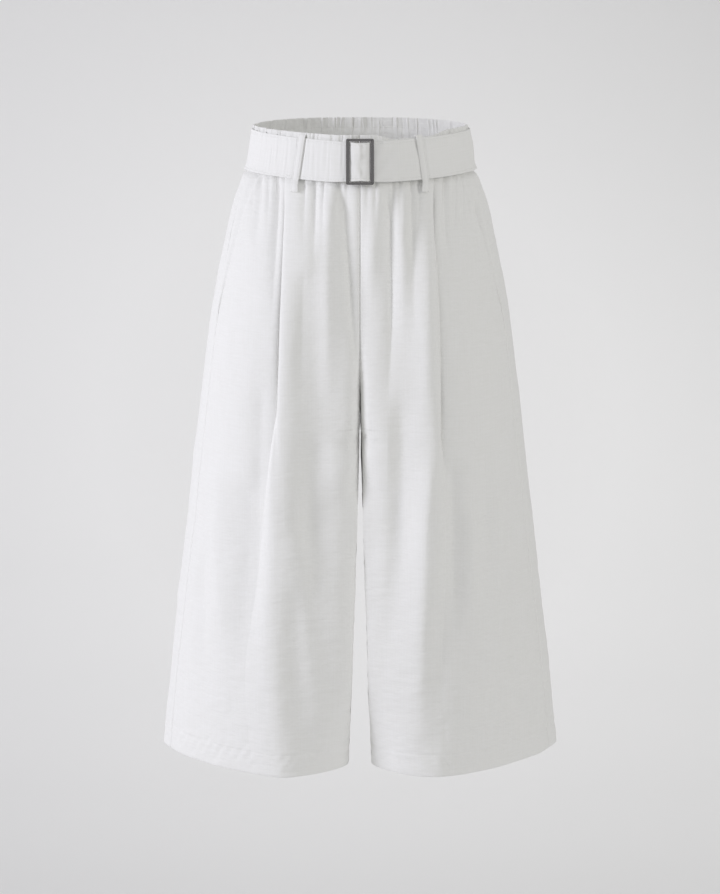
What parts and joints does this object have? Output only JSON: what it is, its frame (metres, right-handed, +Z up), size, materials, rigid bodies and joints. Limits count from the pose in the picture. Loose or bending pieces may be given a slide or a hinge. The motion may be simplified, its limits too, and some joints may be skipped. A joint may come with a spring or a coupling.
{
  "type": "belted wide-leg culottes",
  "caption": "Hollow wide-leg culottes with gathered elastic waist, front pleats, slanted side pockets, belt loops and a self-fabric belt with a rectangular buckle.",
  "frame": {"origin": "centre of the waist ring, at the middle height of the waistband at the front, where the wearer's waist holds the garment", "axes": "+Z up; the front faces -Y; the wearer's left side is on +X"},
  "size_m": [0.4602, 0.2641, 0.7241],
  "materials": {
    "cloth": "matt off-white linen weave with slubs",
    "buckle_metal": "satin gunmetal plating"
  },
  "bodies": {
    "root": {"front_left": "cloth", "front_right": "cloth", "back_left": "cloth", "back_right": "cloth", "pocket_left": "cloth", "pocket_right": "cloth", "waistband_front": "cloth", "waistband_back": "cloth", "belt": "cloth", "loop_front_left": "cloth", "loop_front_right": "cloth", "loop_back_left": "cloth", "loop_back_right": "cloth", "buckle": "buckle_metal"}
  },
  "joints": []
}
